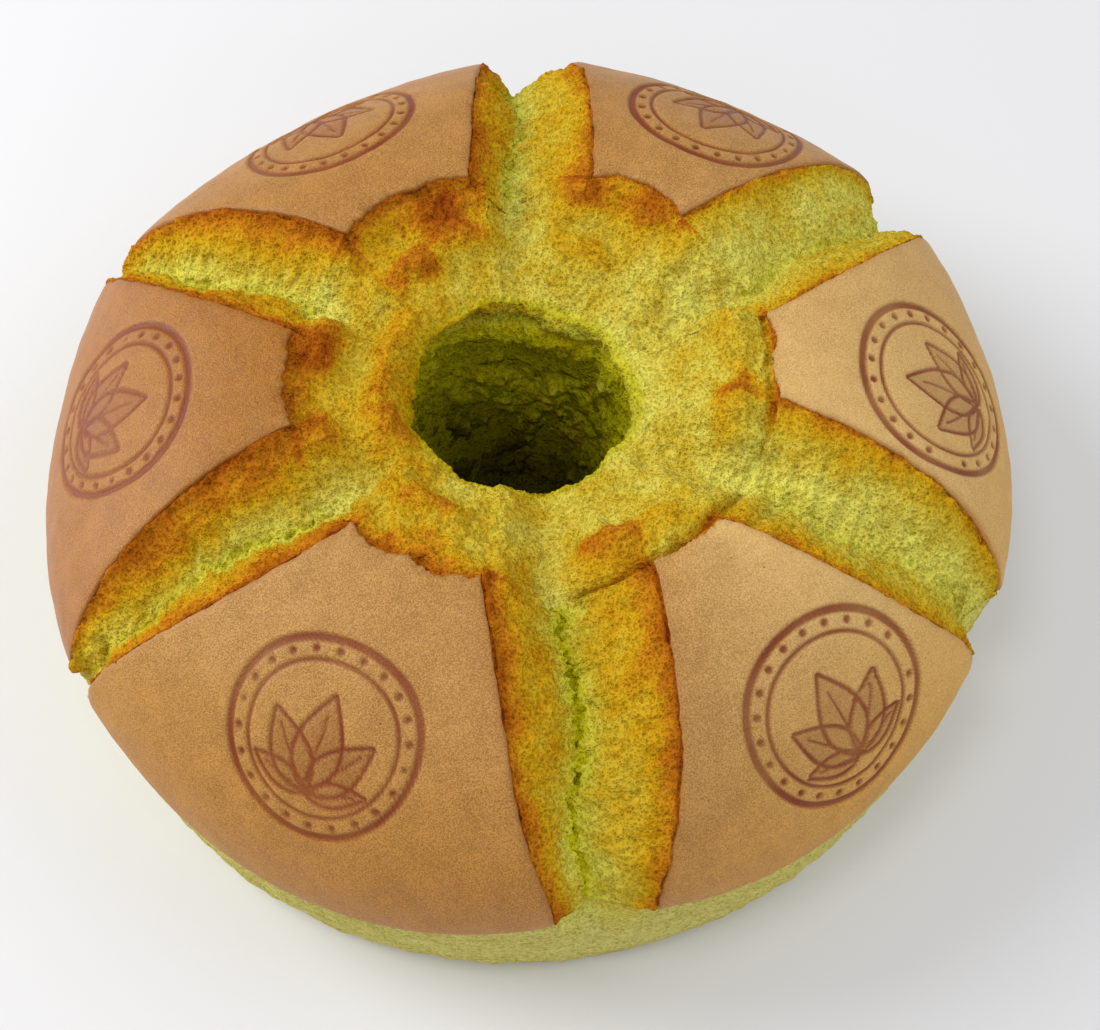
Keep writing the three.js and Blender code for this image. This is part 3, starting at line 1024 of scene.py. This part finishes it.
# %% [markdown]
# ## Materials
#
# Colours are noted as screen values and are turned into the light values that a shader needs. Crumb and crust
# share one node group for foam: pits of broken bubbles with threads between them. It is made from Voronoi
# cells that a noise bends, because round cells look like seeds.

# %% Helpers for node trees


def screen_colour(red, green, blue):
    """A screen colour from 0 to 255 as the linear colour that the shader needs."""
    return tuple(((c / 255 + 0.055) / 1.055) ** 2.4 for c in (red, green, blue)) + (1.0,)


def feed(tree, sockets, values):
    """Sets or links each named socket."""
    for name, value in values.items():
        if isinstance(value, bpy.types.NodeSocket):
            tree.links.new(value, sockets[name])
        else:
            sockets[name].default_value = value


def add_node(tree, kind, inputs=None, **settings):
    added = tree.nodes.new(kind)
    for name, value in settings.items():
        setattr(added, name, value)
    feed(tree, added.inputs, inputs or {})
    return added


def maths(tree, operation, a, b=0.0, clamp=False):
    return add_node(tree, "ShaderNodeMath", {0: a, 1: b}, operation=operation, use_clamp=clamp).outputs[0]


def remap(tree, value, low, high, to_low=0.0, to_high=1.0):
    inputs = {"Value": value, "From Min": low, "From Max": high, "To Min": to_low, "To Max": to_high}
    return add_node(tree, "ShaderNodeMapRange", inputs, clamp=True).outputs["Result"]


def tint(tree, factor, a, b):
    mixed = add_node(tree, "ShaderNodeMix", data_type="RGBA")
    feed(tree, mixed.inputs, {0: factor, 6: a, 7: b})
    return mixed.outputs[2]


def cloud(tree, vector, scale, detail=1.5):
    inputs = {"Vector": vector, "Scale": scale, "Detail": detail}
    return add_node(tree, "ShaderNodeTexNoise", inputs).outputs["Fac"]


def attribute(tree, name):
    return add_node(tree, "ShaderNodeAttribute", attribute_name=name).outputs["Fac"]


def new_material(name):
    material = bpy.data.materials.new(name)
    material.use_nodes = True
    return material, material.node_tree, material.node_tree.nodes["Principled BSDF"]


# %% A group for foam
FOAM_WARP = 0.7
FOAM_DEPTHS = (0.08, 0.64)


def foam_group():
    """Foam seen from outside: 0 in the pits of broken bubbles, 1 on the threads between them."""
    group = bpy.data.node_groups.new("foam", "ShaderNodeTree")
    group.interface.new_socket("Vector", in_out="INPUT", socket_type="NodeSocketVector")
    group.interface.new_socket("Per metre", in_out="INPUT", socket_type="NodeSocketFloat")
    group.interface.new_socket("Thread", in_out="OUTPUT", socket_type="NodeSocketFloat")
    source = group.nodes.new("NodeGroupInput")
    target = group.nodes.new("NodeGroupOutput")
    vector, scale = source.outputs["Vector"], source.outputs["Per metre"]
    warp = add_node(group, "ShaderNodeTexNoise", {"Vector": vector, "Scale": scale, "Detail": 0.5})
    half = (0.5, 0.5, 0.5)
    shift = add_node(group, "ShaderNodeVectorMath", {0: warp.outputs["Color"], 1: half}, operation="SUBTRACT")
    size = maths(group, "DIVIDE", FOAM_WARP, scale)
    push = add_node(group, "ShaderNodeVectorMath", {0: shift.outputs[0], "Scale": size}, operation="SCALE")
    moved = add_node(group, "ShaderNodeVectorMath", {0: vector, 1: push.outputs[0]}, operation="ADD")
    cells = add_node(group, "ShaderNodeTexVoronoi", {"Vector": moved.outputs[0], "Scale": scale})
    luck = add_node(group, "ShaderNodeSeparateColor", {"Color": cells.outputs["Color"]})
    shallow = maths(group, "MULTIPLY", luck.outputs["Red"], 0.25)
    depth = maths(group, "ADD", cells.outputs["Distance"], shallow)
    group.links.new(remap(group, depth, *FOAM_DEPTHS), target.inputs["Thread"])
    return group


FOAM = foam_group()


def foam(tree, vector, per_metre):
    placed = add_node(tree, "ShaderNodeGroup", node_tree=FOAM)
    feed(tree, placed.inputs, {"Vector": vector, "Per metre": per_metre})
    return placed.outputs["Thread"]


print("foam group of", len(FOAM.nodes), "nodes")

# %% Uneven colour
UNTINTED = (1.0, 1.0, 1.0)


def modulate(tree, factor, colour, low, high):
    """Multiplies a colour by a tint that runs from low to high as the factor runs from 0 to 1."""
    tone = tint(tree, factor, low + (1.0,), high + (1.0,))
    mixed = add_node(tree, "ShaderNodeMix", data_type="RGBA", blend_type="MULTIPLY")
    feed(tree, mixed.inputs, {0: 1.0, 6: colour, 7: tone})
    return mixed.outputs[2]


def uneven(tree, vector, *layers):
    """A sum of clouds around zero, each layer given as its scale and its strength."""
    total = 0.0
    for scale, strength in layers:
        centred = maths(tree, "SUBTRACT", cloud(tree, vector, scale), 0.5)
        total = maths(tree, "ADD", maths(tree, "MULTIPLY", centred, strength), total)
    return total


# %% [markdown]
# ## The crumb's finish
#
# Fresh pandan crumb is yellow green and turns gold, orange and brown as it bakes. A colour ramp follows the
# browning on the vertices, with clouds that make it uneven. The foam then darkens the pits with painted shade
# and lightens the threads between them, because light gets lost in a pit. Painted shade, darker and more
# saturated, also lies deep in the hole, most of all on its left, round its lip and in the slits. The dry
# outer wall is paler.

# %% Crumb material
COARSE_FOAM, FINE_FOAM = 1000.0, 2100.0
# The pit tint paints shade into the foam's pits; the thread tint makes the threads paler.
PIT_SHADE_TINT, THREAD_TINT = (0.64, 0.61, 0.02), (1.25, 1.25, 2.4)
# Tints that darken and saturate the crumb where shade is painted.
SHADE_SATURATION_TINT, PAINTED_SHADE_TINT = (0.95, 0.94, 0.1), (0.15, 0.15, 0.08)
WALL_COLOUR, WALL_STREAK = screen_colour(194, 185, 86), screen_colour(166, 150, 56)
CRUMB_STOPS = [
    (0.0, screen_colour(198, 192, 62)),
    (0.25, screen_colour(185, 160, 30)),
    (0.45, screen_colour(184, 142, 12)),
    (0.62, screen_colour(176, 113, 12)),
    (0.8, screen_colour(158, 88, 8)),
    (1.0, screen_colour(122, 52, 4)),
]


def browning_ramp(tree, browned):
    ramp = add_node(tree, "ShaderNodeValToRGB", {"Fac": browned})
    stops = ramp.color_ramp.elements
    while len(stops) < len(CRUMB_STOPS):
        stops.new(0.5)
    for stop, (position, colour) in zip(stops, CRUMB_STOPS):
        stop.position = position
        stop.color = colour
    return ramp.outputs["Color"]


def crumb_material():
    material, tree, shader = new_material("crumb")
    place = add_node(tree, "ShaderNodeTexCoord").outputs["Object"]
    coarse, fine = foam(tree, place, COARSE_FOAM), foam(tree, place, FINE_FOAM)
    threads = maths(tree, "ADD", maths(tree, "MULTIPLY", coarse, 0.55), maths(tree, "MULTIPLY", fine, 0.45))
    spread = uneven(tree, place, (75.0, 0.35), (180.0, 0.4), (500.0, 0.2))
    # Pits are browned a little more and threads a little less, part of the painted shade in the pits.
    spread = maths(tree, "ADD", spread, remap(tree, threads, 0.0, 1.0, 0.07, -0.05))
    browned = maths(tree, "ADD", attribute(tree, "toast"), spread, clamp=True)
    colour = browning_ramp(tree, browned)
    flat = add_node(tree, "ShaderNodeMapping", {"Vector": place, "Scale": (1.0, 1.0, 6.0)}).outputs["Vector"]
    streaks = remap(tree, cloud(tree, flat, 60.0), 0.42, 0.68, 0.0, 0.4)
    wall = tint(tree, streaks, WALL_COLOUR, WALL_STREAK)
    colour = tint(tree, maths(tree, "MULTIPLY", attribute(tree, "pale"), 0.7), colour, wall)
    # Painted shade in the pits of the foam, with paler threads between them.
    colour = modulate(tree, threads, colour, PIT_SHADE_TINT, THREAD_TINT)
    # Painted shade: darker and more saturated in the hole, round its lip and in the slits.
    painted_shade = attribute(tree, "painted_shade")
    shade_saturation = remap(tree, painted_shade, 0.0, 0.15)
    colour = modulate(tree, shade_saturation, colour, UNTINTED, SHADE_SATURATION_TINT)
    colour = modulate(tree, painted_shade, colour, UNTINTED, PAINTED_SHADE_TINT)
    tree.links.new(colour, shader.inputs["Base Color"])
    bump = add_node(tree, "ShaderNodeBump", {"Strength": 0.8, "Distance": 0.0008, "Height": threads})
    tree.links.new(bump.outputs["Normal"], shader.inputs["Normal"])
    shader.inputs["Roughness"].default_value = 0.85
    shader.inputs["Specular IOR Level"].default_value = 0.02
    return material


# %% [markdown]
# ## The crust's finish
#
# The crust is smooth, tan where it baked lightly and brown where the oven was hotter, and browner towards the
# rim. It has a fine speckle, a few open pores drawn as dark dots of painted shade, and a soft gloss, which is
# stronger where it is browner. The stamp and a thin line along the edges are burnt darker.

# %% Crust material
DARK_CRUST, PALE_CRUST = screen_colour(160, 102, 28), screen_colour(207, 167, 100)
LOW_START, LOW_END, LOW_TINT = 0.066, 0.036, (1.0, 0.85, 0.4)
SPECK_DARK, SPECK_PALE = (0.74, 0.7, 0.58), (1.24, 1.28, 1.42)
LARGE_PORES, SMALL_PORES = 480.0, 950.0
# Dark dots of painted shade where the crust has pinholes.
PORE_SHADE_COLOUR = screen_colour(92, 48, 16)
BURNT_COLOUR = screen_colour(122, 46, 4)
RIM_COLOUR = screen_colour(138, 76, 28)


def crust_material():
    material, tree, shader = new_material("crust")
    place = add_node(tree, "ShaderNodeTexCoord").outputs["Object"]
    height = add_node(tree, "ShaderNodeSeparateXYZ", {"Vector": place}).outputs["Z"]
    pale = attribute(tree, "pale")
    brown = tint(tree, pale, DARK_CRUST, PALE_CRUST)
    low = remap(tree, height, LOW_START, LOW_END)
    brown = modulate(tree, low, brown, UNTINTED, LOW_TINT)
    blotch = cloud(tree, place, 70.0)
    flecks = uneven(tree, place, (160.0, 0.6), (900.0, 0.4), (3400.0, 2.6))
    flecks = maths(tree, "MULTIPLY", flecks, remap(tree, pale, 0.2, 1.0, 1.5, 0.7))
    grain = maths(tree, "ADD", flecks, 0.5, clamp=True)
    brown = modulate(tree, grain, brown, SPECK_DARK, SPECK_PALE)
    large, small = foam(tree, place, LARGE_PORES), foam(tree, place, SMALL_PORES)
    # Painted shade inside the crust's pinholes, which have no relief of their own.
    pore_shade = remap(tree, maths(tree, "MINIMUM", large, small), 0.0, 0.05, 1.0, 0.0)
    brown = tint(tree, maths(tree, "MULTIPLY", pore_shade, 0.7), brown, PORE_SHADE_COLOUR)
    burnt = maths(tree, "MULTIPLY", attribute(tree, "stamp"), remap(tree, blotch, 0.3, 0.7, 0.7, 1.0))
    brown = tint(tree, burnt, brown, BURNT_COLOUR)
    rim = maths(tree, "POWER", attribute(tree, "edge"), 3.0)
    brown = tint(tree, maths(tree, "MULTIPLY", rim, 0.32), brown, RIM_COLOUR)
    tree.links.new(brown, shader.inputs["Base Color"])
    tree.links.new(remap(tree, pale, 0.0, 1.0, 0.36, 0.55), shader.inputs["Roughness"])
    bump = add_node(tree, "ShaderNodeBump", {"Strength": 0.35, "Distance": 0.0002, "Height": grain})
    tree.links.new(bump.outputs["Normal"], shader.inputs["Normal"])
    shader.inputs["Specular IOR Level"].default_value = 0.3
    return material


# %% Giving the pieces their finish


def finish(pieces, material, slot):
    for piece in pieces:
        piece.data.materials.append(material)
        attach(piece, "root")
        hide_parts("cake")
    print(slot, "on", [piece.name for piece in pieces])


finish(crumb_pieces, crumb_material(), "crumb")
finish(crust_pieces, crust_material(), "crust")

# %% [markdown]
# ## Floor and light
#
# The cake stands on a pale floor under wide soft light, brightest from the left, so that a soft shadow falls
# to the right as in the picture. A low lamp on the left gives the crust its sheen. The wall on the right and
# the room in front send a little light back, and only a weak lamp hangs overhead, so little light reaches the
# hole; its crumb is darkened further with painted shade.

# %% Floor
FLOOR_HALF = 2000
floor_mesh = bmesh.new()
bmesh.ops.create_grid(floor_mesh, x_segments=1, y_segments=1, size=FLOOR_HALF)
floor = finish_piece(floor_mesh, "floor")
floor_paint, _, floor_shader = new_material("pale_floor")
floor_shader.inputs["Base Color"].default_value = screen_colour(226, 226, 228)
floor_shader.inputs["Roughness"].default_value = 0.7
floor.data.materials.append(floor_paint)
print("floor", 2 * FLOOR_HALF * MM, "m across")

# %% Lights
LAMPS = [
    ("window", (-0.85, 0.35, 0.8), 0.7, 8.4, (1.0, 0.985, 0.96)),
    ("low_window", (-0.9, 0.4, 0.15), 0.5, 2.2, (1.0, 0.99, 0.98)),
    ("ceiling", (-0.25, -0.2, 1.1), 0.3, 1.6, (1.0, 0.97, 0.94)),
    ("room", (0.3, -0.85, 0.6), 0.9, 1.4, (1.0, 0.98, 0.95)),
    ("wall", (0.9, 0.05, 0.95), 0.9, 3.2, (0.97, 0.98, 1.0)),
]
WORLD_COLOUR, WORLD_STRENGTH = (0.95, 0.96, 1.0, 1.0), 0.52


def soft_light(name, place, size, power, colour):
    """A round lamp, in metres and watts, turned towards the cake."""
    lamp = bpy.data.lights.new(name, "AREA")
    lamp.shape = "DISK"
    lamp.size = size
    lamp.energy = power
    lamp.color = colour
    holder = bpy.data.objects.new(name, lamp)
    holder.location = place
    holder.rotation_euler = (-Vector(place)).to_track_quat("-Z", "Y").to_euler()
    bpy.context.scene.collection.objects.link(holder)


for settings in LAMPS:
    soft_light(*settings)
world = bpy.data.worlds.new("studio")
bpy.context.scene.world = world
world.use_nodes = True
backdrop = world.node_tree.nodes["Background"]
backdrop.inputs["Color"].default_value = WORLD_COLOUR
backdrop.inputs["Strength"].default_value = WORLD_STRENGTH
bpy.context.scene.view_settings.view_transform = "Standard"
print(len(LAMPS), "lamps")
